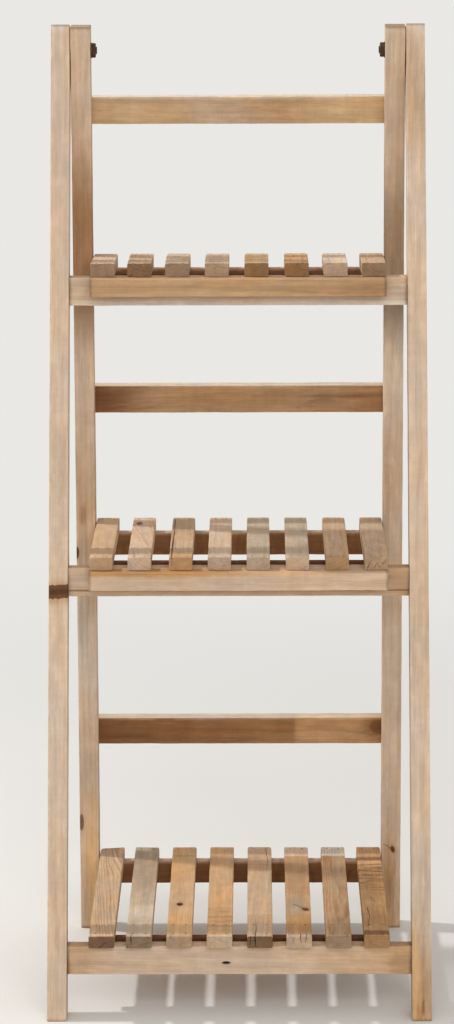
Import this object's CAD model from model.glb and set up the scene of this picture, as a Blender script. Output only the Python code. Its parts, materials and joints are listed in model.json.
"""The looks of a folding ladder stand for plants, made of sawn and weathered pine battens.

Everything is in metres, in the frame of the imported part: the front faces -Y and the floor is Z = 0.
Boards are described in their own millimetres: u along the grain, from a leg's foot, a slat's front
end or a rail's left end, and v across and t through the board, from its middle.
"""
import json
import math
import random

import bmesh
import bpy
import numpy as np
from mathutils import Matrix, Vector


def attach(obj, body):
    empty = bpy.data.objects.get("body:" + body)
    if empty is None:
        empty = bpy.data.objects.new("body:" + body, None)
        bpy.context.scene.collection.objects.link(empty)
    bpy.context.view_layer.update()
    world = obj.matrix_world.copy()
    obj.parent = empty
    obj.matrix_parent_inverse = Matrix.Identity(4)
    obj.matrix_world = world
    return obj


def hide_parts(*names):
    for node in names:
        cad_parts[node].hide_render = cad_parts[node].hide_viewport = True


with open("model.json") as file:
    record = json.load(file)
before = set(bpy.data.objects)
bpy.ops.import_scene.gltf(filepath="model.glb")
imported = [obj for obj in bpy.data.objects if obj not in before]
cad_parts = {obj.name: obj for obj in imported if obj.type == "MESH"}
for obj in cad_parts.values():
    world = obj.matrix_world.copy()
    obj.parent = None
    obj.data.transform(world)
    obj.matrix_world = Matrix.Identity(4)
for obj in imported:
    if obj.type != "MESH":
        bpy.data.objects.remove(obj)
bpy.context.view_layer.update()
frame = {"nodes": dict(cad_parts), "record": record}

MM = 0.001
FRONT_LEAN = math.radians(17.2)
REAR_LEAN = math.radians(1.5)
TOP_FALL = math.radians(1.8)
SHELVES = ("bottom", "middle", "top")
SIDES = {"left": Vector((-1, 0, 0)), "right": Vector((1, 0, 0))}
BODY_OF = {n: body for body, nodes in frame["record"]["behaviour"]["bodies"].items() for n in nodes}


def srgb(red, green, blue):
    """A colour from 0 to 255 as the eye sees it, in linear light."""
    parts = [c / 255 for c in (red, green, blue)]
    return tuple(c / 12.92 if c <= 0.04045 else ((c + 0.055) / 1.055) ** 2.4 for c in parts)


WOOD = {
    "chalk": srgb(222, 207, 188),
    "pale": srgb(215, 190, 166),
    "beige": srgb(206, 179, 153),
    "sand": srgb(199, 168, 137),
    "grey": srgb(190, 169, 145),
    "straw": srgb(212, 178, 134),
    "amber": srgb(226, 184, 132),
    "ash": srgb(168, 148, 126),
    "honey": srgb(206, 164, 119),
    "tan": srgb(184, 149, 113),
    "ochre": srgb(182, 137, 88),
    "brown": srgb(164, 122, 83),
    "umber": srgb(128, 88, 56),
    "bark": srgb(108, 68, 40),
    "knot": srgb(66, 40, 25),
}


# ---- Shader nodes ----


class Graph:
    """The nodes of a material or of the world. Each call adds a node and gives its output."""

    def __init__(self, owner):
        owner.use_nodes = True
        self.owner, self.tree = owner, owner.node_tree
        self.tree.nodes.clear()

    def node(self, kind, inputs, **settings):
        node = self.tree.nodes.new(kind)
        for key, value in settings.items():
            setattr(node, key, value)
        for key, value in inputs.items():
            if isinstance(value, bpy.types.NodeSocket):
                self.tree.links.new(value, node.inputs[key])
            else:
                node.inputs[key].default_value = value
        return node

    def add(self, kind, inputs, output=0, **settings):
        return self.node(kind, inputs, **settings).outputs[output]

    def attribute(self, name):
        return self.add("ShaderNodeAttribute", {}, "Vector", attribute_name=name)

    def parts(self, vector):
        return tuple(self.node("ShaderNodeSeparateXYZ", {0: vector}).outputs)

    def point(self, x, y, z):
        return self.add("ShaderNodeCombineXYZ", {0: x, 1: y, 2: z})

    def math(self, operation, *values, clamp=False):
        inputs = dict(enumerate(values))
        return self.add("ShaderNodeMath", inputs, operation=operation, use_clamp=clamp)

    def times(self, a, b):
        return self.math("MULTIPLY", a, b)

    def vector(self, operation, a, b):
        return self.add("ShaderNodeVectorMath", {0: a, 1: b}, operation=operation)

    def scaled(self, a, b):
        return self.vector("MULTIPLY", a, b)

    def noise(self, vector, scale, detail, roughness=0.5, output=0):
        inputs = {"Vector": self.scaled(vector, scale), "Scale": 1.0,
                  "Detail": detail, "Roughness": roughness}
        return self.add("ShaderNodeTexNoise", inputs, output)

    def smooth(self, value, low, high, to_low=0.0, to_high=1.0):
        inputs = {0: value, 1: low, 2: high, 3: to_low, 4: to_high}
        return self.add("ShaderNodeMapRange", inputs, interpolation_type="SMOOTHSTEP")

    def mix(self, factor, a, b):
        return self.add("ShaderNodeMix", {0: factor, 6: a, 7: b}, 2, data_type="RGBA")

    def length(self, x, y):
        return self.math("SQRT", self.math("ADD", self.times(x, x), self.times(y, y)))

    def seen(self):
        """1 for a ray from the camera, a mirror or glass, and 0 for one that gathers light."""
        path = self.node("ShaderNodeLightPath", {}).outputs
        mirrored = self.math("MAXIMUM", path["Is Glossy Ray"], path["Is Transmission Ray"])
        return self.math("MAXIMUM", path["Is Camera Ray"], mirrored)

    def finish(self, shader, kind="ShaderNodeOutputMaterial"):
        self.node(kind, {"Surface": shader})
        return self.owner


def rgba(colour, scale=1.0):
    return (*(c * scale for c in colour), 1.0)


def wood():
    """Sawn pine, drawn inside the log that each board was cut from, so faces and ends agree.

    The boards carry these attributes: log, a place in the log in mm with the pith at y = z = 0; tone,
    the board's colour; look, which holds ring contrast, weathering and how dark an end is; cut, which
    holds the step from ring to ring, the strength of the saw's marks and how near an edge is; knot_a
    and knot_b, a place in knot radii from a knot's axis, with its darkness as z.
    """
    g = Graph(bpy.data.materials.new("sawn_pine"))
    log, tone = g.attribute("log"), g.attribute("tone")
    contrast, weather, end = g.parts(g.attribute("look"))
    pitch, sawn, edge = g.parts(g.attribute("cut"))

    # The log's middle wanders, and the rings bend round the knots.
    wander = g.vector("SUBTRACT", g.noise(log, (0.009, 0.05, 0.05), 2.0, output=1), (0.5, 0.5, 0.5))
    _, log_y, log_z = g.parts(g.vector("ADD", log, g.scaled(wander, (0, 8.0, 8.0))))
    radius = g.length(log_y, log_z)
    ragged = g.noise(log, (0.12, 0.35, 0.35), 3.0)

    knots = []
    for name in ("knot_a", "knot_b"):
        knot_x, knot_y, dark = g.parts(g.attribute(name))
        away = g.math("ADD", g.length(knot_x, knot_y), g.times(g.math("SUBTRACT", ragged, 0.5), 0.4))
        knots.append((away, g.math("MINIMUM", dark, 1.0)))
        lift = g.math("DIVIDE", 5.0, g.math("ADD", g.times(away, away), 0.7))
        radius = g.math("SUBTRACT", radius, g.times(lift, g.math("MINIMUM", dark, 1.0)))

    # A ring darkens slowly and ends sharply, and no two are of the same strength.
    phase = g.math("DIVIDE", radius, pitch)
    year = g.math("FRACT", phase)
    rings = g.times(g.smooth(year, 0.2, 0.9), g.smooth(year, 0.9, 1.0, 1.0, 0.0))
    strength = g.add("ShaderNodeTexWhiteNoise", {"W": g.math("FLOOR", phase)}, noise_dimensions="1D")
    patchy = g.noise(log, (0.012, 0.08, 0.08), 2.0)
    rings = g.times(rings, g.smooth(strength, 0.0, 1.0, 0.25, 1.0))
    rings = g.times(rings, g.smooth(patchy, 0.3, 0.62, 0.35, 1.0))

    fibre = g.noise(log, (0.022, 0.9, 0.9), 4.0, 0.6)
    bands = g.noise(log, (0.006, 0.22, 0.22), 3.0)
    pores = g.noise(log, (0.10, 3.2, 3.2), 2.0)
    mottle = g.noise(log, (0.012, 0.055, 0.055), 3.0)
    cloud = g.noise(log, (0.045, 0.11, 0.11), 4.0, 0.6)
    saw = g.noise(log, (0.13, 0.02, 0.02), 4.0, 0.7)
    specks = g.noise(log, (0.14, 0.7, 0.7), 5.0, 0.7)

    # The board's own colour gets rings, streaks, pores, saw marks, worn edges, bloom and dirt.
    late = g.scaled(tone, (0.62, 0.50, 0.38))
    colour = g.mix(g.times(rings, contrast), tone, late)
    streaks = g.smooth(fibre, 0.36, 0.68, 1.03, 0.93)
    broad = g.smooth(bands, 0.36, 0.66, 1.05, 0.93)
    fade = g.smooth(cloud, 0.3, 0.7, 0.94, 1.06)
    light = g.times(g.times(streaks, broad), fade)
    colour = g.scaled(colour, g.point(light, light, light))
    colour = g.mix(g.smooth(mottle, 0.36, 0.64), g.scaled(colour, (0.96, 0.985, 1.02)),
                   g.scaled(colour, (1.04, 1.0, 0.94)))
    hairs = g.times(g.smooth(pores, 0.60, 0.72), g.smooth(patchy, 0.42, 0.62, 0.05, 0.34))
    marks = g.times(g.smooth(saw, 0.49, 0.57), sawn)
    marks = g.math("ADD", marks, hairs, clamp=True)
    colour = g.mix(marks, colour, g.scaled(colour, (0.56, 0.46, 0.37)))
    worn = g.times(edge, g.smooth(ragged, 0.35, 0.6, 0.0, 0.5))
    colour = g.mix(worn, colour, g.scaled(colour, (1.18, 1.16, 1.14)))
    chalky = g.times(g.smooth(cloud, 0.5, 0.72), weather)
    colour = g.mix(chalky, colour, g.scaled(colour, (1.10, 1.14, 1.21)))
    grime = g.times(g.smooth(specks, 0.62, 0.74), weather)
    colour = g.mix(g.times(grime, 0.7), colour, rgba(WOOD["umber"], 0.75))

    # An end is darker and has splits that run out from the log's middle.
    angle = g.math("ARCTAN2", log_z, log_y)
    spokes = g.point(g.times(angle, 14.0), g.times(radius, 0.04), 3.0)
    split = g.smooth(g.noise(spokes, (1, 1, 1), 3.0), 0.63, 0.69)
    shade = g.scaled(colour, (0.34, 0.29, 0.24))
    shade = g.mix(g.times(rings, 0.5), shade, rgba(WOOD["bark"], 0.8))
    shade = g.mix(g.times(split, 0.8), shade, rgba(WOOD["knot"], 0.6))
    colour = g.mix(end, colour, shade)

    for away, dark in knots:
        halo = g.times(g.smooth(away, 0.9, 2.3, 0.4, 0.0), dark)
        colour = g.mix(halo, colour, rgba(WOOD["ochre"], 0.85))
        heart = g.mix(g.smooth(away, 0.15, 0.6), rgba(WOOD["knot"], 1.5), rgba(WOOD["bark"], 0.95))
        heart = g.mix(g.smooth(cloud, 0.45, 0.7, 0.0, 0.4), heart, rgba(WOOD["umber"], 0.8))
        colour = g.mix(g.times(g.smooth(away, 0.88, 1.04, 1.0, 0.0), dark), colour, heart)

    height = g.times(fibre, 0.9)
    height = g.math("SUBTRACT", height, g.times(rings, 0.25))
    height = g.math("ADD", height, g.times(saw, 0.6))
    height = g.math("SUBTRACT", height, g.times(grime, 0.5))
    normal = g.add("ShaderNodeBump", {"Strength": 0.55, "Distance": 0.0005, "Height": height})
    roughness = g.smooth(fibre, 0.3, 0.7, 0.72, 0.9)
    shader = g.add("ShaderNodeBsdfPrincipled", {
        "Base Color": colour, "Roughness": roughness, "Specular IOR Level": 0.2, "Normal": normal})
    return g.finish(shader)


def metal(name, colour, rust, rough, wear):
    """Steel that has spots of rust: wear is the share of the surface that they cover."""
    g = Graph(bpy.data.materials.new(name))
    place = g.add("ShaderNodeTexCoord", {}, "Object")
    blotch = g.noise(place, (420, 420, 420), 4.0, 0.65)
    grain = g.noise(place, (2600, 2600, 2600), 2.0)
    spots = g.smooth(blotch, 0.72 - 0.4 * wear, 0.82 - 0.4 * wear)
    tint = g.mix(g.smooth(grain, 0.3, 0.7), rgba(colour), rgba(colour, 0.72))
    base = g.mix(spots, tint, rgba(rust))
    height = g.math("ADD", grain, g.times(spots, 1.5))
    normal = g.add("ShaderNodeBump", {"Strength": 0.4, "Distance": 0.0002, "Height": height})
    shader = g.add("ShaderNodeBsdfPrincipled", {
        "Base Color": base, "Metallic": g.smooth(spots, 0.0, 1.0, 0.9, 0.1),
        "Roughness": g.smooth(spots, 0.0, 1.0, rough, 0.85), "Normal": normal})
    return g.finish(shader)


PINE = wood()
NUT_STEEL = metal("oxidised_nut_steel", srgb(74, 56, 44), srgb(78, 48, 30), rough=0.5, wear=0.8)
BOLT_STEEL = metal("oxidised_bolt_steel", srgb(96, 84, 74), srgb(92, 58, 38), rough=0.45, wear=0.55)
SCREW_STEEL = metal("zinc_screw_steel", srgb(188, 176, 152), srgb(120, 84, 52), rough=0.38, wear=0.25)
NAIL_STEEL = metal("dark_brad_steel", srgb(66, 52, 42), srgb(58, 38, 26), rough=0.55, wear=0.5)
PIVOT_STEEL = metal("galvanised_pin_steel", srgb(158, 152, 142), srgb(120, 96, 76), rough=0.42, wear=0.3)


# ---- Places in the CAD model ----


def directions(kind, angle):
    """The directions along, across and through a board that is tipped back by an angle."""
    sideways = Vector((1, 0, 0))
    backward = Vector((0, math.cos(angle), -math.sin(angle)))
    upward = Vector((0, math.sin(angle), math.cos(angle)))
    return {"leg": (upward, sideways, backward), "slat": (backward, sideways, upward),
            "cross": (sideways, upward, backward)}[kind]


def points(mesh):
    places = np.empty(len(mesh.vertices) * 3)
    mesh.vertices.foreach_get("co", places)
    return places.reshape(-1, 3)


def corners(node):
    """The points of a CAD node, in mm."""
    return points(frame["nodes"][node].data) / MM


def reach(node, direction):
    """Where a CAD node starts and ends along a direction, in mm."""
    along = corners(node) @ np.array(direction)
    return along.min(), along.max()


def centre(node):
    places = corners(node)
    return Vector((places.min(axis=0) + places.max(axis=0)) / 2)


HEAD_GAP = 3.0    # mm, less than the wood between two screw heads
RIM_DEPTH = 0.02  # mm within which points lie on the flat of a head


def groups(places, axis):
    """Splits points where there is a gap between them along an axis."""
    places = places[np.argsort(places[:, axis])]
    return np.split(places, np.flatnonzero(np.diff(places[:, axis]) > HEAD_GAP) + 1)


def head_centres(node, out):
    """Centres of the flat heads of a group of screws or pins that face out, in mm."""
    places = corners(node)
    depth = places @ np.array(out)
    rims = places[depth > depth.max() - RIM_DEPTH]
    return [Vector((rim.min(axis=0) + rim.max(axis=0)) / 2)
            for column in groups(rims, 0) for rim in groups(column, 2)]


# ---- Boards ----


def link(piece):
    bpy.context.scene.collection.objects.link(piece)


def skin(bm, ring, following, turn=1):
    """Faces between two rings of points, which turn = -1 turns over."""
    for k in range(len(ring)):
        j = (k + 1) % len(ring)
        bm.faces.new((ring[k], ring[j], following[j], following[k])[::turn])


class Ripple:
    """A smooth random value from -1 to 1 over a board, longer along the grain than across it."""

    def __init__(self, rng, along, across, waves=7):
        self.waves = [(rng.uniform(-1, 1) / along, rng.uniform(-1, 1) / across,
                       rng.uniform(-1, 1) / across, rng.uniform(0, math.tau)) for _ in range(waves)]

    def __call__(self, u, v, t):
        total = sum(np.sin(math.tau * (a * u + b * v + c * t) + p) for a, b, c, p in self.waves)
        return total / math.sqrt(len(self.waves)) / 1.5


ARC_STEPS = 3        # facets round a board's long edges and its end edges
GRID_STEP = 3.0      # mm between the points on a board's faces
END_ROUND = 0.5      # mm of rounding where a face meets an end
LEAST_ROUND = 0.02   # mm that is left of an edge's rounding there
ROUGH_DEPTH = 0.22   # mm that the saw took here and there from a face
LEAST_DEPTH = 0.05   # mm by which every face lies inside its CAD face
PAST_FACE = 1.0      # mm by which a cut starts outside the wood
END_RINGS = 0.72, 0.4  # shares of its size at which an end's outline is drawn again
FLAT_RIM = 4         # mm round a bore in which its face stays flat
DENT_EVERY = 110     # mm of edge to a dent
END_WEAR = 3.5       # mm over which an edge is more worn towards its end


def stations(length):
    """Distances along a board at which its outline is drawn, with how far it is drawn in there."""
    places = np.linspace(END_ROUND, length - END_ROUND, round(length / GRID_STEP) + 1)
    turns = [math.pi / 2 * k / ARC_STEPS for k in range(ARC_STEPS, 0, -1)]
    start = [(END_ROUND * (1 - math.sin(a)), END_ROUND * (1 - math.cos(a))) for a in turns]
    finish = [(length - u, inset) for u, inset in reversed(start)]
    return np.array(start + [(u, 0.0) for u in places] + finish)


def outline(width, depth, radii, inset):
    """The rounded outline of a board at each station, as places across and through it. radii holds
    the rounding of the four long edges at each station."""
    across, through = [], []
    inset = inset[:, None]
    for k in range(4):
        quarter = math.pi / 2 * k
        sign_v, sign_t = (1, -1, -1, 1)[k], (1, 1, -1, -1)[k]
        r = radii[:, k:k + 1]
        next_r = radii[:, (k + 1) % 4:(k + 1) % 4 + 1]
        for step in range(ARC_STEPS + 1):
            angle = quarter + math.pi / 2 * step / ARC_STEPS
            left = np.maximum(r - inset, LEAST_ROUND)
            across.append(sign_v * (width / 2 - r) + left * math.cos(angle))
            through.append(sign_t * (depth / 2 - r) + left * math.sin(angle))
        side = quarter + math.pi / 2
        normal_v, normal_t = math.cos(side), math.sin(side)
        extent, offset = (width, depth / 2 - inset) if k % 2 == 0 else (depth, width / 2 - inset)
        start = extent / 2 - r
        stop = next_r - extent / 2
        count = max(2, round(extent / GRID_STEP))
        for step in range(1, count):
            along = start + (stop - start) * step / count
            across.append(offset * normal_v + along * normal_t)
            through.append(offset * normal_t - along * normal_v)
    return np.hstack(across), np.hstack(through)


def edge_radii(u, length, wear, rng):
    """The rounding of the four long edges along a board, with dents and worn ends."""
    radii = np.empty((len(u), 4))
    for k in range(4):
        ripple = Ripple(rng, 70, 20)
        radii[:, k] = wear * (1 + 0.45 * ripple(u, k * 11.0, 0.0))
        for _ in range(int(length / DENT_EVERY) + 1):
            at, size, deep = rng.uniform(0, length), rng.uniform(2.5, 8), rng.uniform(0.2, 1.0) * wear
            radii[:, k] += deep * np.exp(-((u - at) / size) ** 2)
        ends = np.exp(-u / END_WEAR) + np.exp((u - length) / END_WEAR)
        radii[:, k] += rng.uniform(0.1, 0.8) * wear * ends
    return np.maximum(radii, END_ROUND + 0.05)


def end_shift(places, length, slope):
    """How far the ends' slope moves each point along the board. slope is in mm of length per mm
    across and through, as ((start_v, start_t), (end_v, end_t))."""
    u, v, t = places.T
    (start_v, start_t), (end_v, end_t) = slope
    start = start_v * v + start_t * t
    finish = end_v * v + end_t * t
    return start + (finish - start) * np.clip(u / length, 0, 1)


def board_mesh(size, wear, rng, bores, slope):
    """A worn batten in its own millimetres, rough from the saw but flat round its bores."""
    length, width, depth = size
    u, inset = stations(length).T
    v, t = outline(width, depth, edge_radii(u, length, wear, rng), inset)
    rings, count = v.shape

    bm = bmesh.new()
    grid = [[bm.verts.new((u[i], v[i, j], t[i, j])) for j in range(count)] for i in range(rings)]
    for ring, following in zip(grid, grid[1:]):
        skin(bm, ring, following)
    for ring, turn in ((grid[0], -1), (grid[-1], 1)):
        x = ring[0].co.x
        previous = ring
        for share in END_RINGS:
            inner = [bm.verts.new((x, p.co.y * share, p.co.z * share)) for p in ring]
            skin(bm, previous, inner, turn)
            previous = inner
        middle = bm.verts.new((x, 0, 0))
        for j in range(count):
            bm.faces.new((previous[j], previous[(j + 1) % count], middle)[::turn])
    bmesh.ops.recalc_face_normals(bm, faces=bm.faces)
    bm.normal_update()
    places = np.array([p.co for p in bm.verts])
    outward = np.array([p.normal for p in bm.verts])
    mesh = bpy.data.meshes.new("board")
    bm.to_mesh(mesh)
    bm.free()

    waves, ridges = Ripple(rng, 45, 14), Ripple(rng, 9, 6)
    rough = waves(*places.T) + 0.5 * ridges(*places.T)
    sunk = LEAST_DEPTH + ROUGH_DEPTH * np.clip(0.5 + 0.5 * rough, 0, 1)
    for bore in bores:
        near = np.linalg.norm(places - np.array(bore["at"]), axis=1) < bore["rings"][0][0] + FLAT_RIM
        sunk[near] = LEAST_DEPTH
    shaped = places - outward * sunk[:, None]
    shaped[:, 0] += end_shift(places, length, slope)
    mesh.vertices.foreach_set("co", shaped.ravel())
    return mesh


# ---- Bores, knot holes and cracks ----

BORE_STEPS = 24


def tube(bm, sections):
    """A closed skin over a row of sections, each a ring of the same number of points."""
    rings = [[bm.verts.new(p) for p in section] for section in sections]
    for ring, following in zip(rings, rings[1:]):
        skin(bm, ring, following)
    bm.faces.new(rings[0][::-1])
    bm.faces.new(rings[-1])


def add_pit(bm, at, out, rings, stretch=1.0):
    """A round cut into a face. rings holds its radius at each depth, and stretch makes it longer
    along the grain."""
    first = Vector((1, 0, 0)) if abs(out.x) < 0.5 else Vector((0, 1, 0))
    second = out.cross(first)
    sections = []
    for radius, depth in rings:
        turns = [math.tau * k / BORE_STEPS for k in range(BORE_STEPS)]
        sections.append([at - out * depth + first * (radius * stretch * math.cos(a))
                         + second * (radius * math.sin(a)) for a in turns])
    tube(bm, sections)


CRACK_STEP = 3.0   # mm between the kinks of a crack
CRACK_KINK = 0.3   # mm by which a kink leaves the line
CRACK_FLOOR = 0.2  # width of a crack's floor, as a share of that at the face
HOLE_FLOOR = 0.7   # the same for a knot hole


def add_crack(bm, path, out, widths, depth, rng):
    """A wedge-shaped cut along a kinked line on a face. widths are those at its two ends."""
    bends = []
    for a, b in zip(path, path[1:]):
        steps = max(1, round((b - a).length / CRACK_STEP))
        bends += [a.lerp(b, k / steps) for k in range(steps)]
    bends.append(path[-1])
    sections = []
    for k, p in enumerate(bends):
        ahead = (bends[min(k + 1, len(bends) - 1)] - bends[max(k - 1, 0)]).normalized()
        side = ahead.cross(out)
        share = k / (len(bends) - 1)
        half = (widths[0] * (1 - share) + widths[1] * share) / 2
        middle = p + side * (rng.uniform(-CRACK_KINK, CRACK_KINK) if 0 < k < len(bends) - 1 else 0)
        top, floor, narrow = out * PAST_FACE, -out * depth, half * CRACK_FLOOR
        sections.append([middle + side * half + top, middle - side * half + top,
                         middle - side * narrow + floor, middle + side * narrow + floor])
    tube(bm, sections)


def carve(mesh, add_cutters):
    """A board's mesh with every closed shape that add_cutters draws cut out of it."""
    shapes = bmesh.new()
    add_cutters(shapes)
    bmesh.ops.recalc_face_normals(shapes, faces=shapes.faces)
    cutter_mesh = bpy.data.meshes.new("cutters")
    shapes.to_mesh(cutter_mesh)
    shapes.free()
    block = bpy.data.objects.new("block", mesh)
    cutter = bpy.data.objects.new("cutter", cutter_mesh)
    for piece in (block, cutter):
        link(piece)
    cut = block.modifiers.new("cut", "BOOLEAN")
    cut.operation, cut.solver, cut.use_self, cut.object = "DIFFERENCE", "EXACT", True, cutter
    bpy.context.view_layer.update()
    graph = bpy.context.evaluated_depsgraph_get()
    carved = bpy.data.meshes.new_from_object(block.evaluated_get(graph))
    for piece, old in ((block, mesh), (cutter, cutter_mesh)):
        bpy.data.objects.remove(piece)
        bpy.data.meshes.remove(old)
    return carved


# ---- The colours of a board ----

NO_KNOT = (-1000.0, 0.0, 1.0, 1.0, 0.0)
HOLLOW_START = 1.0   # mm under a face at which the inside of a cut starts to darken
HOLLOW_RAMP = 0.6    # mm over which it gets dark
HOLLOW_DARK = 0.05   # what is left of the wood's colour deep in a cut
BAND_EDGE = 3.0      # mm over which a band across a board starts and ends
EDGE_WIDTH = 1.7     # mm of wear along a long edge
STAIN_FULL = 1.6     # strength in the middle of a stain, where all over 1 counts as 1
STAIN_FADE = 1.3     # what it loses on the way to the half size
STAIN_WAVE = 9.0     # mm: about how far the outline of a long stain waves
WAVE_MOST = 0.35     # the most by which a stain's strength waves
BAND_WAVE = 0.3      # share of BAND_EDGE by which a band's ends wave
ALL = 30             # mm: half of a stain that reaches right across and through a batten
WIDE = 60            # mm: the same, for one that hardly fades towards the batten's sides
HALF_SPAN = 173      # mm from a rail's end to its middle


def over(u, half, colour, strength, wide=ALL):
    """A stain right across and through a board."""
    return (u, 0, 0), (half, wide, wide), colour, strength


def strip(v, half, colour, strength):
    """A stain along a whole rail."""
    return (HALF_SPAN, v, 0), (600, half, WIDE), colour, strength


def paint(mesh, places, size, tone, contrast, weather, end_dark, pitch, sawn, saw_zone, pith, tilt,
          knots, stains, rng):
    """Gives a board its place in the log, its colours and its knots, as mesh attributes."""
    length, width, depth = size
    u, v, t = places.T
    log = np.stack([u + rng.uniform(0, 9000),
                    v + pith[0] + tilt[0] * (u - length / 2),
                    t + pith[1] + tilt[1] * (u - length / 2)], axis=1)
    colours = np.tile(np.array(WOOD[tone]), (len(u), 1))
    ragged = Ripple(rng, 22, 5)(u, v, t)
    for first, second, colour, strength in stains:
        if isinstance(first, tuple):  # a stain
            away = np.sqrt(sum(((p - c) / h) ** 2 for p, c, h in zip((u, v, t), first, second)))
            share = STAIN_FULL - STAIN_FADE * away + min(WAVE_MOST, STAIN_WAVE / second[0]) * ragged
        else:  # a band
            share = np.minimum(u - first, second - u) / BAND_EDGE + 0.5 + BAND_WAVE * ragged
        share = strength * np.clip(share, 0, 1)[:, None]
        colours = colours * (1 - share) + np.array(WOOD[colour]) * share
    from_side, from_face = width / 2 - abs(v), depth / 2 - abs(t)
    from_end = np.minimum(u, length - u)
    under = np.minimum(np.minimum(from_side, from_face), from_end)
    hollow = np.clip((under - HOLLOW_START) / HOLLOW_RAMP, 0, 1)[:, None]
    colours = colours * (1 - hollow * (1 - HOLLOW_DARK))
    edge = np.exp(-(np.hypot(from_side, from_face) / EDGE_WIDTH) ** 2)
    end = end_dark * (from_end < END_ROUND * 0.6 + LEAST_DEPTH + ROUGH_DEPTH)
    ones = np.ones(len(u))
    marks = sawn * ones
    if saw_zone:
        middle, half, strength = saw_zone
        marks += strength * np.clip(1.5 - abs(u - middle) / half + 0.3 * ragged, 0, 1)
    values = {"log": log, "tone": colours,
              "look": np.stack([contrast * ones, weather * ones, end], axis=1),
              "cut": np.stack([pitch * ones, marks, edge], axis=1)}
    for name, knot in zip(("knot_a", "knot_b"), (*knots, NO_KNOT, NO_KNOT)):
        at_u, at_v, half_u, half_v, dark, *lean = knot
        slant = lean[0] * v if lean else 0
        values[name] = np.stack([(u - at_u + slant) / half_u, (v - at_v) / half_v, dark * ones], axis=1)
    for name, value in values.items():
        attribute = mesh.attributes.new(name, "FLOAT_VECTOR", "POINT")
        attribute.data.foreach_set("vector", value.astype(np.float32).ravel())


def shade_smooth(piece, sharp_angle):
    mesh = piece.data
    mesh.polygons.foreach_set("use_smooth", [True] * len(mesh.polygons))
    mesh.set_sharp_from_angle(angle=math.radians(sharp_angle))
    weighted = piece.modifiers.new("face_weighted_normals", "WEIGHTED_NORMAL")
    weighted.keep_sharp = True


def dress(piece, node, material):
    """Puts a finished piece in the place of its CAD node."""
    piece.data.materials.append(material)
    link(piece)
    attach(piece, BODY_OF[node])
    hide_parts(node)


def on_face(face, size, a, b):
    """A point on a board's top, front or start face, with the way that face looks."""
    length, width, depth = size
    if face == "end":
        return Vector((0, a, b)), Vector((-1, 0, 0))
    side = {"top": 1, "front": -1}[face]
    return Vector((a, b, side * depth / 2)), Vector((0, 0, side))


def board(node, facing, slot, tone, contrast, pith, weather=0.35, wear=0.9, end_dark=0.6,
          pitch=3.4, sawn=0.05, saw_zone=None, tilt=(0.0, 0.0), knots=(), stains=(), bores=(), holes=(),
          cracks=(), slope=((0, 0), (0, 0)), level_foot=0.0):
    """A batten in the place of a CAD node. facing holds its directions() in the part's frame.
    saw_zone is (u, half length, strength) of a stretch with more saw marks; pith and tilt say where
    the log's middle lies, across and through. knots are (u, v, half u, half v, darkness, slant).
    stains are (middle, half sizes, colour, strength), or (start, end, colour, strength) for a band
    right across, and the later ones cover the earlier. bores are (centre, direction, rings) in the
    part's frame, holes (face, a, b, radius, depth, stretch) and cracks (face, line, widths, depth)
    on the board's own faces. level_foot is the lean of a leg whose foot is cut level with the floor."""
    rng = random.Random(node)
    along, across, through = facing
    (low, high), (left, right), (near, far) = (reach(node, d) for d in facing)
    middle_v, middle_t = (left + right) / 2, (near + far) / 2
    low += abs(slope[0][0]) * (right - left) / 2
    high -= abs(slope[1][0]) * (right - left) / 2
    if level_foot:
        low = -middle_t * through.z / along.z
        slope = ((0, math.tan(level_foot)), slope[1])
    size = (high - low, right - left, far - near)
    turn = Matrix((along, across, through))
    start = Vector((low, middle_v, middle_t))
    local_bores = [{"at": turn @ at - start, "out": turn @ out, "rings": rings}
                   for at, out, rings in bores]
    mesh = board_mesh(size, wear, rng, local_bores, slope)

    def add_cutters(bm):
        for bore in local_bores:
            add_pit(bm, bore["at"], bore["out"], bore["rings"])
        for face, a, b, radius, depth, stretch in holes:
            at, out = on_face(face, size, a, b)
            walls = (radius + 0.4 * PAST_FACE, -PAST_FACE), (radius * HOLE_FLOOR, depth)
            add_pit(bm, at, out, walls, stretch)
        for face, line, widths, depth in cracks:
            path = [on_face(face, size, a, b)[0] for a, b in line]
            add_crack(bm, path, on_face(face, size, 0, 0)[1], widths, depth, rng)

    if local_bores or holes or cracks:
        mesh = carve(mesh, add_cutters)
    shaped = points(mesh)
    square = shaped.copy()
    square[:, 0] -= end_shift(shaped, size[0], slope)
    paint(mesh, square, size, tone, contrast, weather, end_dark, pitch, sawn, saw_zone, pith, tilt,
          knots, stains, rng)
    world = (shaped + np.array(start)) @ np.array(turn) * MM
    mesh.vertices.foreach_set("co", world.ravel())
    mesh.update()
    piece = bpy.data.objects.new(node + "_board", mesh)
    shade_smooth(piece, sharp_angle=50)
    dress(piece, node, PINE)


# ---- The ladder's boards ----


def pine(tone, contrast, pith, **others):
    """The look of a board, as its colour, the strength of its rings, the place of its log's middle
    and whatever else board() is told."""
    return dict(tone=tone, contrast=contrast, pith=pith, **others)


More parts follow.
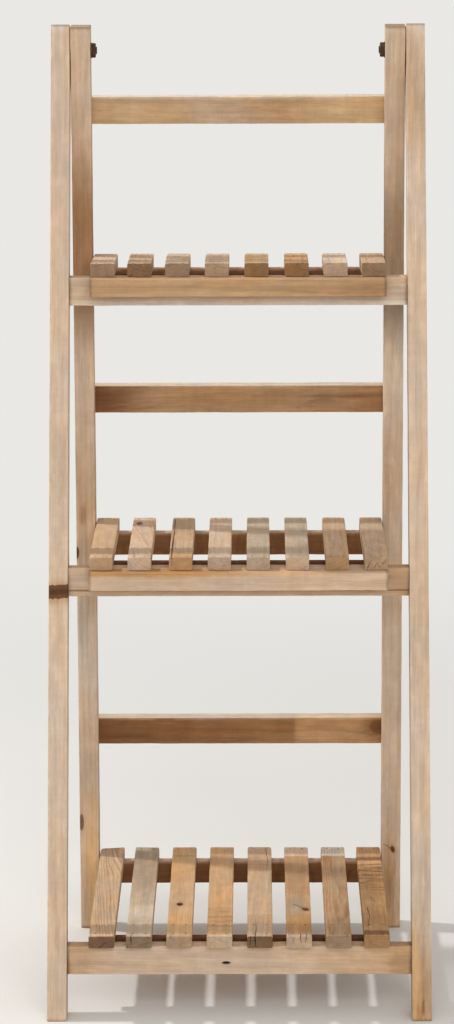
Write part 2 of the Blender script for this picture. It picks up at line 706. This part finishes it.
TOP_END = over(1000, 6, "chalk", 0.8)  # the sawn top of a front leg
PALE_TOP = ((150, 13, 0), (500, 2.2, 30), "pale", 1.0)  # the bare top of a dark rail
LOOKS = {
    "front_leg_left": pine("pale", 0.16, (16, -60), tilt=(0.006, 0.01),
        knots=[(425.3, 4, 7.2, 60, 0.97, -0.06)],
        stains=[((84, 1, -14), (22, 2, 9), "umber", 0.55), over(560, 40, "beige", 0.7),
            over(130, 60, "beige", 0.8), over(30, 60, "grey", 0.6), over(423, 12, "ochre", 0.4),
            TOP_END]),
    "front_leg_right": pine("pale", 0.18, (-22, -50), tilt=(-0.008, 0.004),
        stains=[over(925, 60, "tan", 0.6), TOP_END, over(380, 60, "grey", 0.5),
            over(120, 70, "grey", 0.4), over(30, 56, "tan", 1.0),
            ((50, -6.5, -14), (56, 5, 14), "honey", 0.95), ((62, 1.5, -14), (44, 1.4, 6), "brown", 0.35),
            ((9, -2.5, -14), (8, 3, 9), "ochre", 1.0), ((14, 1.5, -14), (9, 1.3, 6), "umber", 0.8)]),
    "rear_leg_left": pine("beige", 0.22, (-30, -30), tilt=(0.004, -0.01),
        knots=[(412, -9.6, 6.5, 2.2, 1.0), (118, -8.5, 9, 2.6, 0.8)],
        stains=[over(722, 95, "ash", 0.5, WIDE), over(736, 90, "brown", 0.75, WIDE),
            over(744, 60, "umber", 0.25, WIDE), over(478, 50, "tan", 0.35, WIDE),
            over(605, 46, "pale", 0.6), over(300, 70, "chalk", 0.7), over(172, 30, "grey", 0.8),
            ((56, 3, 0), (104, 9, 30), "amber", 0.95), over(900, 60, "pale", 0.6),
            ((400, 5, -14), (70, 5, 14), "honey", 0.5), ((452, -3, -14), (12, 4, 9), "brown", 0.5)],
        cracks=[("front", [(444, -4.2), (456, -3.4)], (0.5, 0.3), 1.5),
            ("front", [(449, -1.0), (460, -1.4)], (0.4, 0.3), 1.2)]),
    "rear_leg_right": pine("beige", 0.24, (24, -44), tilt=(-0.008, 0.006),
        knots=[(88, 1.8, 3.8, 2.5, 1.0, 0.4)],
        stains=[((56, -2, 0), (60, 8, 30), "ochre", 0.95), ((10, 2, -14), (26, 4, 14), "honey", 0.6),
            over(722, 95, "ash", 0.9, WIDE), over(744, 60, "brown", 0.25, WIDE),
            over(880, 70, "grey", 0.7), over(600, 56, "chalk", 0.75), over(178, 46, "pale", 0.6),
            over(300, 60, "pale", 0.7)],
        cracks=[("front", [(93.5, -8.4), (91, -3.5), (88.5, -0.5)], (0.7, 1.3), 2)]),
    "top_back_rail": pine("tan", 0.3, (0, -22), tilt=(0.02, 0.0),
        stains=[over(50, 76, "straw", 0.6), over(300, 70, "straw", 0.75), over(150, 44, "beige", 0.5),
            strip(15, 2.2, "chalk", 0.9), strip(-15, 1.6, "chalk", 0.6)]),
    "middle_back_rail": pine("tan", 0.5, (6, -30), tilt=(-0.01, 0.02),
        stains=[over(16, 60, "umber", 1.0), over(16, 56, "bark", 0.4), over(180, 160, "brown", 0.35),
            over(324, 50, "brown", 0.6), ((276, 2.9, 0), (52, 2.8, 60), "umber", 0.7),
            strip(15.2, 1.6, "chalk", 0.95)]),
    "bottom_back_rail": pine("brown", 0.45, (-8, -26), tilt=(0.012, -0.01),
        knots=[(321, 4, 13, 8.5, 0.55)],
        stains=[over(60, 90, "umber", 0.85), over(150, 50, "umber", 0.45),
            ((214, 5, 0), (18, 9, 60), "umber", 0.45), (230, 360, "honey", 0.65),
            ((318, 4, 0), (19, 11, 60), "bark", 0.6), strip(15.2, 1.6, "chalk", 0.9)]),
    "bottom_rung": pine("beige", 0.16, (-10, -34), tilt=(0.015, 0.01),
        holes=[("front", 158, -2.5, 1.5, 4, 2.8)],
        stains=[over(8, 34, "tan", 0.6), ((0, -10, 0), (3.4, 18, 30), "brown", 0.9),
            over(290, 50, "sand", 0.7), over(334, 34, "tan", 1.0)]),
    "middle_rung": pine("beige", 0.12, (6, -40), end_dark=0.3, knots=[(173, -8.4, 420, 0.9, 0.6)],
        stains=[over(338, 24, "tan", 0.9)]),
    "top_rung": pine("beige", 0.15, (-14, -36), stains=[strip(-13, 5, "chalk", 1.0)]),
    "middle_lip": pine("beige", 0.2, (4, -26), tilt=(0.01, 0.0),
        stains=[((60, 9, -6), (120, 4.2, 30), "ochre", 1.0),
            ((200, 9, -6), (60, 2.4, 30), "honey", 0.6)]),
    "top_lip": pine("tan", 0.3, (-3, -24), tilt=(0.012, 0.0),
        stains=[over(140, 90, "honey", 0.3), over(290, 40, "brown", 0.5)]),
    "keeper_rail": pine("bark", 0.4, (5, -30), sawn=0.3),
    "rear_rail": pine("umber", 0.4, (5, -30), sawn=0.4, stains=[PALE_TOP]),
}


PLAY = 0.2  # mm of room round a screw, a bolt or a pin


def countersink(head_d, shank_d, depth):
    """The rings of a countersunk bore, from just outside the face down to a depth, in mm."""
    head, shank = head_d / 2 + PLAY, shank_d / 2 + PLAY
    return (head + PAST_FACE, -PAST_FACE), (shank, head - shank), (shank, depth)


BOLT_BORE = countersink(16, 8, 24)
BOLT_HOLE = (4.2, -PAST_FACE), (4.2, 24)  # in a rear leg, without a countersink
SCREW_BORE = countersink(8, 4, 3)
PIVOT_BORE = countersink(11, 6, 25)


def on_leg(point, side, node):
    """A place moved sideways to a leg's outer face."""
    edge = max(reach(node, side))
    return Vector((side.x * edge, point.y, point.z))


def front_legs():
    for name, out in SIDES.items():
        node = f"front_leg_{name}"
        bores = [(on_leg(centre(f"hinge_bolt_{name}"), out, node), out, BOLT_BORE)]
        bores += [(at, out, SCREW_BORE) for at in head_centres("front_frame_screws", out)]
        board(node, directions("leg", FRONT_LEAN), "front_leg_wood", level_foot=FRONT_LEAN,
              weather=0.3, bores=bores, **LOOKS[node])


def rear_legs():
    for name, out in SIDES.items():
        node = f"rear_leg_{name}"
        bores = [(on_leg(centre(f"hinge_bolt_{name}"), out, node), out, BOLT_HOLE)]
        for shelf in SHELVES:
            bores += [(at, out, PIVOT_BORE) for at in head_centres(f"{shelf}_pivots", out)]
        board(node, directions("leg", -REAR_LEAN), "rear_leg_wood", level_foot=-REAR_LEAN,
              bores=bores, **LOOKS[node])


SCREW_SPREAD = 20  # mm from a back rail's middle within which its screws lie


def back_rails():
    facing = directions("cross", -REAR_LEAN)
    out = facing[2]
    screws = head_centres("rear_frame_screws", out)
    for name in reversed(SHELVES):
        node = f"{name}_back_rail"
        height = centre(node).z
        bores = [(at, out, SCREW_BORE) for at in screws if abs(at.z - height) < SCREW_SPREAD]
        board(node, facing, "back_rail_wood", weather=0.45, sawn=0.08, bores=bores, **LOOKS[node])


def rungs():
    for name in SHELVES:
        node = f"{name}_rung"
        board(node, directions("cross", 0), "rung_wood", **LOOKS[node])


def shelf_battens(shelf, fall):
    facing = directions("cross", fall)
    lip = f"{shelf}_lip"
    if lip in LOOKS:
        board(lip, facing, "lip_wood", **LOOKS[lip])
    for rail in ("keeper_rail", "rear_rail"):
        board(f"{shelf}_{rail}", facing, "batten_wood", weather=0.3, **LOOKS[rail])


BOTTOM_SLATS = (
    pine("sand", 0.9, (-16, -16), pitch=2.6, tilt=(0.05, 0.02), end_dark=0.9,
         stains=[over(0, 3, "umber", 0.5), over(280, 50, "beige", 0.6), (0, 18, "pale", 0.4)], skew=0.2),
    pine("grey", 0.1, (10, -50), end_dark=0.85, weather=0.5,
         stains=[over(86, 26, "chalk", 0.4), over(250, 110, "ash", 1.0)],
         cracks=[("top", [(-1, -8), (9, -7)], (1.6, 0.3), 5),
             ("end", [(-8, 8), (-7, -2)], (1.6, 0.5), 4)]),
    pine("honey", 0.22, (18, -40), end_dark=0.45, knots=[(113, -1.3, 6.2, 3.4, 1.0)],
         holes=[("top", 113, -1.3, 3.0, 6, 2.0)],
         stains=[over(150, 60, "sand", 0.5), over(28, 16, "straw", 0.7), over(0, 9, "grey", 0.7),
             (258, 296, "straw", 0.35), (288, 292, "brown", 0.6)],
         cracks=[("top", [(-1, -8), (9, -8.4)], (0.9, 0.3), 4)]),
    pine("honey", 0.2, (-20, -44), tilt=(0.01, 0), end_dark=0.42, saw_zone=(60, 30, 0.4),
         stains=[over(210, 50, "sand", 0.35), over(0, 9, "chalk", 0.6), (52, 76, "ochre", 0.5),
             (98, 100, "brown", 0.5), (258, 296, "tan", 0.5), (18, 34, "straw", 0.5),
             (78, 97, "ochre", 0.3)]),
    pine("sand", 0.25, (8, -22), tilt=(-0.03, 0.02), end_dark=1.0, saw_zone=(275, 26, 0.3),
         stains=[over(300, 24, "sand", 0.6), (42, 76, "tan", 0.6), (232, 256, "brown", 0.3),
             (262, 296, "tan", 0.3), (256, 259, "brown", 0.5)],
         cracks=[("top", [(-1, -5), (30, -3.5), (62, -4.5)], (1.2, 0.3), 5),
             ("end", [(-5, 8), (-4, -8)], (1.2, 0.6), 4), ("end", [(-9, 8), (-10, -3)], (1.2, 0.4), 4),
             ("top", [(230, 7), (270, 8.5), (315, 6.5)], (0.3, 0.9), 4)]),
    pine("tan", 0.16, (-14, -46), end_dark=0.3, knots=[(98, 7.2, 6.5, 4.0, 1.0, 0.5)],
         stains=[((104, -3, 0), (30, 10, ALL), "ash", 0.75), over(0, 9, "beige", 0.9),
             (154, 288, "ochre", 0.3), (152, 155, "brown", 0.4), (10, 76, "ochre", 0.8),
             (288, 324, "pale", 0.8)],
         cracks=[("top", [(112, -5), (104, 2), (98, 8)], (2.2, 4.5), 5),
             ("top", [(-1, 1), (12, 1.5)], (1.3, 0.4), 3), ("top", [(-1, 7), (11, 7.2)], (1.3, 0.4), 3),
             ("end", [(1, 8), (2, -1)], (1.1, 0.4), 2), ("end", [(7, 8), (6.5, 0)], (1.1, 0.4), 2),
             ("end", [(-6, 5), (-5, -4)], (0.7, 0.3), 2)]),
    pine("tan", 0.8, (-7, -19), pitch=2.3, tilt=(-0.03, 0.02), end_dark=0.5,
         stains=[over(0, 7, "grey", 0.5), ((150, 3, 0), (110, 8, ALL), "grey", 0.25),
             ((278, -7, 0), (30, 7, ALL), "brown", 0.9), (290, 324, "chalk", 1.0)]),
    pine("honey", 0.3, (0, -5), end_dark=0.45, saw_zone=(216, 46, 1.2), weather=0.4,
         stains=[over(150, 50, "ochre", 0.5), over(60, 50, "brown", 0.6), over(215, 50, "ochre", 0.2),
             over(0, 6, "brown", 0.4), (6, 22, "umber", 0.9), (271, 285, "umber", 0.85),
             (285, 324, "brown", 0.2)],
         cracks=[("top", [(128, -11), (137, -3), (121, 1)], (0.7, 1.3), 2),
             ("top", [(102, -7), (68, -5.5), (36, -8)], (1.2, 0.6), 2),
             ("top", [(70, -6), (71, 10)], (0.8, 0.5), 1.5),
             ("top", [(90, -3), (88, 9)], (0.7, 0.5), 1.5),
             ("top", [(180, -11), (176, 9)], (1.2, 0.7), 2),
             ("top", [(204, -11), (212, -2), (205, 11)], (1.2, 1.2), 2),
             ("top", [(226, -11), (232, 0), (228, 11)], (1.0, 1.4), 2),
             ("top", [(246, -10), (243, 0), (249, 11)], (1.5, 1.0), 2)]),
)
MIDDLE_SLATS = (
    pine("sand", 0.12, (14, -50), end_dark=0.25, stains=[over(90, 80, "tan", 0.25)]),
    pine("beige", 0.4, (-6, -14), tilt=(0.10, 0.03), end_dark=0.15, weather=0.5,
         knots=[(177, -5, 8, 3.4, 0.85)], stains=[over(0, 6, "pale", 0.7)]),
    pine("sand", 0.2, (20, -36), end_dark=0.25,
         stains=[over(6, 24, "honey", 0.8), ((100, -9.2, 6.7), (130, 1.2, 3), "bark", 1.0),
             over(160, 70, "tan", 0.6)], sawn=0.15,
         cracks=[("top", [(-1, -8.8), (70, -9), (130, -8.6), (198, -9)], (0.9, 0.9), 1.5),
             ("end", [(-8.8, 6), (-8.6, -5)], (0.9, 0.4), 1)]),
    pine("beige", 0.14, (-12, -44), end_dark=0.3, weather=0.5),
    pine("grey", 0.18, (10, -30), end_dark=0.12, sawn=0.15,
         cracks=[("end", [(3, -5), (7, 3)], (0.5, 0.3), 1), ("end", [(6, -5), (10, 1)], (0.5, 0.3), 1)]),
    pine("grey", 0.12, (-20, -52), end_dark=0.05, weather=0.45, stains=[over(0, 6, "beige", 0.7)],
         cracks=[("end", [(5, -6), (9, -2)], (0.6, 0.3), 1)]),
    pine("sand", 0.35, (16, -26), tilt=(0.02, 0.02), end_dark=0.25, stains=[over(0, 14, "ochre", 0.5)]),
    pine("sand", 0.2, (-8, -40), end_dark=0.3, weather=0.8, stains=[over(120, 60, "grey", 0.5)],
         cracks=[("end", [(-9, -5), (-5, 4)], (1.0, 0.5), 2),
             ("end", [(-2, -4), (1, 1), (4, -4)], (0.7, 0.6), 2),
             ("end", [(6, -1), (10, 4)], (0.9, 0.4), 2)]),
)
TOP_SLATS = (
    pine("beige", 0.2, (12, -40), end_dark=0.7),
    pine("sand", 0.3, (-8, -22), end_dark=0.85),
    pine("beige", 0.15, (18, -50), end_dark=0.7),
    pine("beige", 0.2, (-15, -30), end_dark=0.45),
    pine("straw", 0.22, (5, -26), end_dark=0.62, stains=[over(0, 4, "brown", 0.6)]),
    pine("honey", 0.25, (-18, -34), end_dark=0.6, stains=[over(0, 4, "brown", 0.5)]),
    pine("pale", 0.12, (10, -48), end_dark=0.45),
    pine("sand", 0.3, (-12, -20), end_dark=0.65),
)
SLATS = dict(zip(SHELVES, (BOTTOM_SLATS, MIDDLE_SLATS, TOP_SLATS)))


def slats(shelf, fall):
    rng = random.Random(shelf)
    for k, look in enumerate(SLATS[shelf], start=1):
        look = dict(wear=1.1) | look
        skew = look.pop("skew", rng.uniform(-0.05, 0.03))
        board(f"{shelf}_slat_{k}", directions("slat", fall), "slat_wood",
              slope=((rng.uniform(-0.01, 0.01), 0), (skew, 0)), **look)


# ---- Nuts, bolts and washers ----

TURN_STEPS = 48
HARD_EDGE = 28      # degrees between faces that aren't shaded as one
THREAD_PITCH = 1.25
THREAD_TURNS = 5    # cut into the end of a bolt
ANY = 99            # mm: the most that a radius may be where nothing is chamfered


def hexagon(across_flats):
    """The radius of a hexagon at an angle."""
    def radius(angle):
        return across_flats / 2 / math.cos((angle + math.pi / 6) % (math.pi / 3) - math.pi / 6)
    return radius


def circle(diameter):
    return lambda angle: diameter / 2


def turned(name, at, side, rings, closed):
    """A piece round a bolt's axis. rings holds, in mm, how far out each ring lies from the place at,
    the radius at an angle and the most that the radius may be; closed joins the last ring to the
    first, which leaves a hole, and otherwise the ends are capped."""
    bm = bmesh.new()
    rows = []
    for x, radius, most in rings:
        row = []
        for k in range(TURN_STEPS):
            angle = math.tau * k / TURN_STEPS
            r = min(radius(angle), most)
            spoke = Vector((0, r * math.cos(angle), r * math.sin(angle)))
            row.append(bm.verts.new((at + side * x + spoke) * MM))
        rows.append(row)
    pairs = list(zip(rows, rows[1:]))
    if closed:
        pairs.append((rows[-1], rows[0]))
    for row, following in pairs:
        skin(bm, row, following)
    if not closed:
        bm.faces.new(rows[0][::-1])
        bm.faces.new(rows[-1])
    bmesh.ops.recalc_face_normals(bm, faces=bm.faces)
    mesh = bpy.data.meshes.new(name)
    bm.to_mesh(mesh)
    bm.free()
    piece = bpy.data.objects.new(name, mesh)
    shade_smooth(piece, sharp_angle=HARD_EDGE)
    return piece


def seat(node, side):
    """Where a CAD node on a bolt's axis starts on the inner side, and how long it is, in mm."""
    low, high = reach(node, side)
    return centre(node) - side * (high - low) / 2, high - low


def washer(name, side):
    node = f"hinge_washer_{name}"
    at, thick = seat(node, side)
    hole, rim, edge = circle(8.3), circle(16), 0.15
    rings = [(0, hole, ANY), (0, rim, 8 - edge), (edge, rim, ANY), (thick - edge, rim, ANY),
             (thick, rim, 8 - edge), (thick, hole, ANY)]
    dress(turned(f"{name}_washer", at, side, rings, True), node, BOLT_STEEL)


def nut(name, side):
    node = f"hinge_nut_{name}"
    at, tall = seat(node, side)
    flats, hole = hexagon(12.9), circle(8.05)
    rings = [(0, hole, ANY), (0, circle(9.2), ANY), (0, flats, 6.5), (0.45, flats, 7.25),
             (0.6, flats, ANY), (tall - 0.2, flats, ANY), (tall, flats, 7.0), (tall, hole, ANY)]
    rings += [(tall * k / 8, circle(8.1 if k % 2 else 8.4), ANY) for k in range(7, 0, -1)]
    dress(turned(f"{name}_nut", at, side, rings, True), node, NUT_STEEL)


def bolt(name, side):
    node = f"hinge_bolt_{name}"
    at, long = seat(node, side)
    head, shank, socket = circle(15.9), circle(8), hexagon(5)
    rings = [(0, circle(6.6), ANY)]
    rings += [(0.25 + THREAD_PITCH / 2 * k, circle(7.9 if k % 2 == 0 else 7.1), ANY)
              for k in range(2 * THREAD_TURNS + 1)]
    rings += [(8, shank, ANY), (long - 3.95, shank, ANY), (long - 0.25, head, ANY), (long, head, 7.75),
              (long, socket, 3.1), (long - 2.4, socket, 3.1)]
    dress(turned(f"{name}_bolt", at, side, rings, False), node, BOLT_STEEL)


def hinge_hardware():
    for name, side in SIDES.items():
        washer(name, side)
        nut(name, side)
        bolt(name, side)


def small_fastenings():
    """Screws, brads and pivot pins keep their CAD shapes."""
    finishes = {"screws": SCREW_STEEL, "nails": NAIL_STEEL, "pivots": PIVOT_STEEL}
    for name, node in frame["nodes"].items():
        material = finishes.get(name.rsplit("_", 1)[-1])
        if material:
            node.data.materials.clear()
            node.data.materials.append(material)


# ---- Studio ----

CAMERA_AT = (0.0186, -3.8409, 1.2209)
CAMERA_DOWN = math.radians(10.93)
CAMERA_YAW = math.radians(-0.453)
CAMERA_ROLL = math.radians(-0.211)
LENS = 136.05
FLOOR_COLOUR = srgb(229, 227, 223)
BACKDROP = srgb(233, 232, 229)
FLOOR_RADIUS = 30.0
FLOOR_STEPS = 96
LIT_TO, PALE_FROM = 0.5, 2.2  # m from the stand between which the floor turns as pale as the backdrop
SKY = (1.0, 0.985, 0.965)
AMBIENT = 0.62


def camera():
    data = bpy.data.cameras.new("camera")
    data.lens = LENS
    data.sensor_width = 36
    data.clip_end = 200
    forward = Vector((math.sin(CAMERA_YAW) * math.cos(CAMERA_DOWN),
                      math.cos(CAMERA_YAW) * math.cos(CAMERA_DOWN), -math.sin(CAMERA_DOWN)))
    right = forward.cross(Vector((0, 0, 1))).normalized()
    up = right.cross(forward)
    right, up = (right * math.cos(CAMERA_ROLL) + up * math.sin(CAMERA_ROLL),
                 up * math.cos(CAMERA_ROLL) - right * math.sin(CAMERA_ROLL))
    piece = bpy.data.objects.new("camera", data)
    turn = Matrix((right, up, -forward)).transposed().to_4x4()
    piece.matrix_world = Matrix.Translation(CAMERA_AT) @ turn
    link(piece)
    bpy.context.scene.camera = piece


def softbox(name, at, towards, width, height, power):
    data = bpy.data.lights.new(name, "AREA")
    data.shape = "RECTANGLE"
    data.size, data.size_y = width, height
    data.energy = power
    piece = bpy.data.objects.new(name, data)
    piece.location = at
    piece.rotation_euler = (Vector(towards) - Vector(at)).to_track_quat("-Z", "Y").to_euler()
    link(piece)


def pale_floor():
    """Lit and shaded near the stand, and as pale as the backdrop further off."""
    g = Graph(bpy.data.materials.new("pale_floor"))
    place = g.add("ShaderNodeTexCoord", {}, "Object")
    x, y, _ = g.parts(place)
    cloud = g.noise(place, (3, 3, 3), 3.0)
    tint = g.mix(cloud, rgba(FLOOR_COLOUR, 0.97), rgba(FLOOR_COLOUR))
    lit = g.add("ShaderNodeBsdfPrincipled",
                {"Base Color": tint, "Roughness": 0.9, "Specular IOR Level": 0.1})
    glow = g.add("ShaderNodeEmission", {"Color": rgba(BACKDROP), "Strength": 1.0})
    far = g.times(g.smooth(g.length(x, y), LIT_TO, PALE_FROM), g.seen())
    return g.finish(g.add("ShaderNodeMixShader", {0: far, 1: lit, 2: glow}))


def studio():
    mesh = bpy.data.meshes.new("floor")
    turns = [math.tau * k / FLOOR_STEPS for k in range(FLOOR_STEPS)]
    ring = [(FLOOR_RADIUS * math.cos(a), FLOOR_RADIUS * math.sin(a), 0) for a in turns]
    mesh.from_pydata(ring, [], [list(range(FLOOR_STEPS))])
    mesh.materials.append(pale_floor())
    floor = bpy.data.objects.new("floor", mesh)
    link(floor)

    world = bpy.data.worlds.new("studio")
    bpy.context.scene.world = world
    g = Graph(world)
    sky = g.add("ShaderNodeBackground", {"Color": rgba(SKY), "Strength": AMBIENT})
    backdrop = g.add("ShaderNodeBackground", {"Color": rgba(BACKDROP), "Strength": 1.0})
    g.finish(g.add("ShaderNodeMixShader", {0: g.seen(), 1: sky, 2: backdrop}), "ShaderNodeOutputWorld")

    softbox("side_key", at=(-1.52, 0.53, 2.3), towards=(0, 0, 0.35), width=0.12, height=0.12, power=33)
    softbox("front_fill", at=(0.3, -3.3, 2.1), towards=(0, 0, 0.45), width=2.4, height=1.6, power=43)


def main():
    camera()
    studio()
    front_legs()
    rear_legs()
    back_rails()
    rungs()
    for shelf, fall in zip(SHELVES, (0, 0, TOP_FALL)):
        shelf_battens(shelf, fall)
        slats(shelf, fall)
    hinge_hardware()
    small_fastenings()
    bpy.context.scene.view_settings.view_transform = "Standard"


main()
